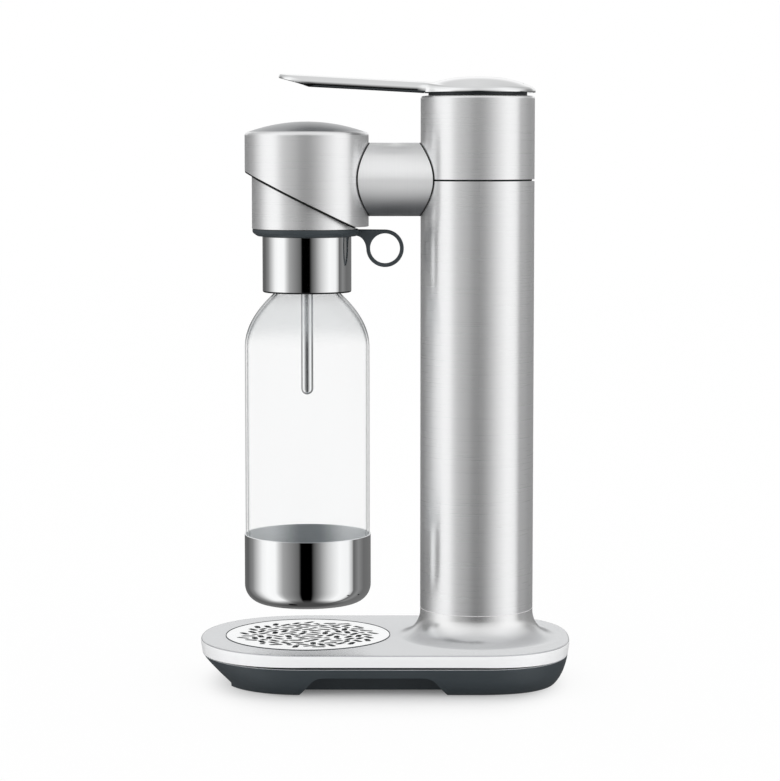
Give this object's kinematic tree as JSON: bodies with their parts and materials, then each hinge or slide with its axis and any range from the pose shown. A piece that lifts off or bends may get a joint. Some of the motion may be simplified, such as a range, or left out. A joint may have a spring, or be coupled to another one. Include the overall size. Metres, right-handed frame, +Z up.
{
  "type": "sparkling water maker",
  "caption": "Countertop sparkling water maker: column with gas cylinder, press lever, arm and slanted docking hood, tilting screw-on bottle cap, clear bottle in a steel cup, drip tray.",
  "frame": {"origin": "middle of the footprint on the counter", "axes": "+Z up, -X towards the bottle, +X towards the column, Y across the base"},
  "size_m": [0.262, 0.1548, 0.4296],
  "materials": {
    "brushed_steel": "stainless steel brushed round its own axis",
    "polished_steel": "mirror polished stainless steel",
    "cast_aluminium": "cast and machined",
    "cylinder_aluminium": "satin drawn cylinder",
    "brass": "turned",
    "dark_plastic": "fine satin moulding, dark grey",
    "charcoal_plastic": "satin moulding, charcoal",
    "black_rubber": "matt",
    "clear_silicone": "translucent matt",
    "bottle_clear": "clear, smooth"
  },
  "bodies": {
    "machine": {"base_plate": "brushed_steel", "base_moulding": "dark_plastic", "foot_front_left": "black_rubber", "foot_front_right": "black_rubber", "foot_rear_left": "black_rubber", "foot_rear_right": "black_rubber", "base_screw_1": "cast_aluminium", "base_screw_2": "cast_aluminium", "base_screw_3": "cast_aluminium", "base_screw_4": "cast_aluminium", "column_front_shell": "brushed_steel", "column_head_shell": "brushed_steel", "column_chassis": "cast_aluminium", "cylinder_rest": "charcoal_plastic", "valve_block": "cast_aluminium", "return_spring": "polished_steel", "top_insert": "charcoal_plastic", "lever_pin": "polished_steel", "arm_barrel": "brushed_steel", "arm_gasket_hood": "black_rubber", "arm_gasket_column": "black_rubber", "arm_core": "cast_aluminium", "gas_tube": "clear_silicone", "hood_shell": "brushed_steel", "dock_plate": "charcoal_plastic", "gas_nozzle": "polished_steel", "nozzle_seal": "clear_silicone"},
    "press_lever": {"lever": "polished_steel", "lever_grip_insert": "charcoal_plastic"},
    "plunger": {"valve_plunger": "polished_steel"},
    "tray_cup": {"drip_cup": "charcoal_plastic"},
    "tray_grille": {"drip_grille": "polished_steel"},
    "rear_cover": {"back_cover": "brushed_steel"},
    "cylinder": {"gas_cylinder": "cylinder_aluminium", "cylinder_valve": "brass"},
    "cap": {"cap_shell": "brushed_steel", "cap_lid": "charcoal_plastic", "cap_core": "charcoal_plastic", "cap_collar": "polished_steel", "bottle_seal": "clear_silicone", "wand": "polished_steel", "release_tab_pin": "polished_steel"},
    "bottle_unit": {"bottle": "bottle_clear", "bottle_cup": "polished_steel"},
    "tab": {"release_tab": "charcoal_plastic"},
    "poppet": {"relief_poppet": "clear_silicone"}
  },
  "joints": [
    {"name": "lever_press", "type": "hinge", "parent": "machine", "child": "press_lever", "pos_m": [0.094, 0, 0.4172], "axis": [0, -1, 0], "range_deg": [0, 1.6], "stiffness_Nm_per_rad": 5, "springref_deg": -2.86},
    {"name": "plunger_stroke", "type": "slide", "parent": "machine", "child": "plunger", "axis": [0, 0, -1], "range_m": [0, 0.0009], "deforming": ["return_spring"]},
    {"name": "cap_tilt", "type": "hinge", "parent": "machine", "child": "cap", "pos_m": [-0.0885, 0, 0.35324], "axis": [0, 1, 0], "range_deg": [0, 15]},
    {"name": "bottle_turn", "type": "hinge", "parent": "cap", "child": "bottle_unit", "pos_m": [-0.055, 0, 0.3], "axis": [0, 0, -1], "range_deg": [0, 120]},
    {"name": "tab_pull", "type": "hinge", "parent": "cap", "child": "tab", "pos_m": [-0.022, 0, 0.3186], "axis": [0, 1, 0], "range_deg": [0, 10], "stiffness_Nm_per_rad": 0.1, "springref_deg": -5.73},
    {"name": "poppet_lift", "type": "slide", "parent": "cap", "child": "poppet", "axis": [0, 0, 1], "range_m": [0, 0.0038]},
    {"name": "cup_lift", "type": "slide", "parent": "machine", "child": "tray_cup", "axis": [0, 0, 1], "range_m": [0, 0.008]},
    {"name": "grille_lift", "type": "slide", "parent": "tray_cup", "child": "tray_grille", "axis": [0, 0, 1], "range_m": [0, 0.007]},
    {"name": "cover_pull", "type": "slide", "parent": "machine", "child": "rear_cover", "axis": [1, 0, 0], "range_m": [0, 0.06]},
    {"name": "cylinder_turn", "type": "hinge", "parent": "machine", "child": "cylinder", "pos_m": [0.065, 0, 0.2], "axis": [0, 0, 1], "continuous": true}
  ],
  "couplings": [
    {"joint": "plunger_stroke", "follows": "lever_press", "m_per_rad": 0.029},
    {"joint": "poppet_lift", "follows": "tab_pull", "m_per_rad": 0.0212}
  ]
}
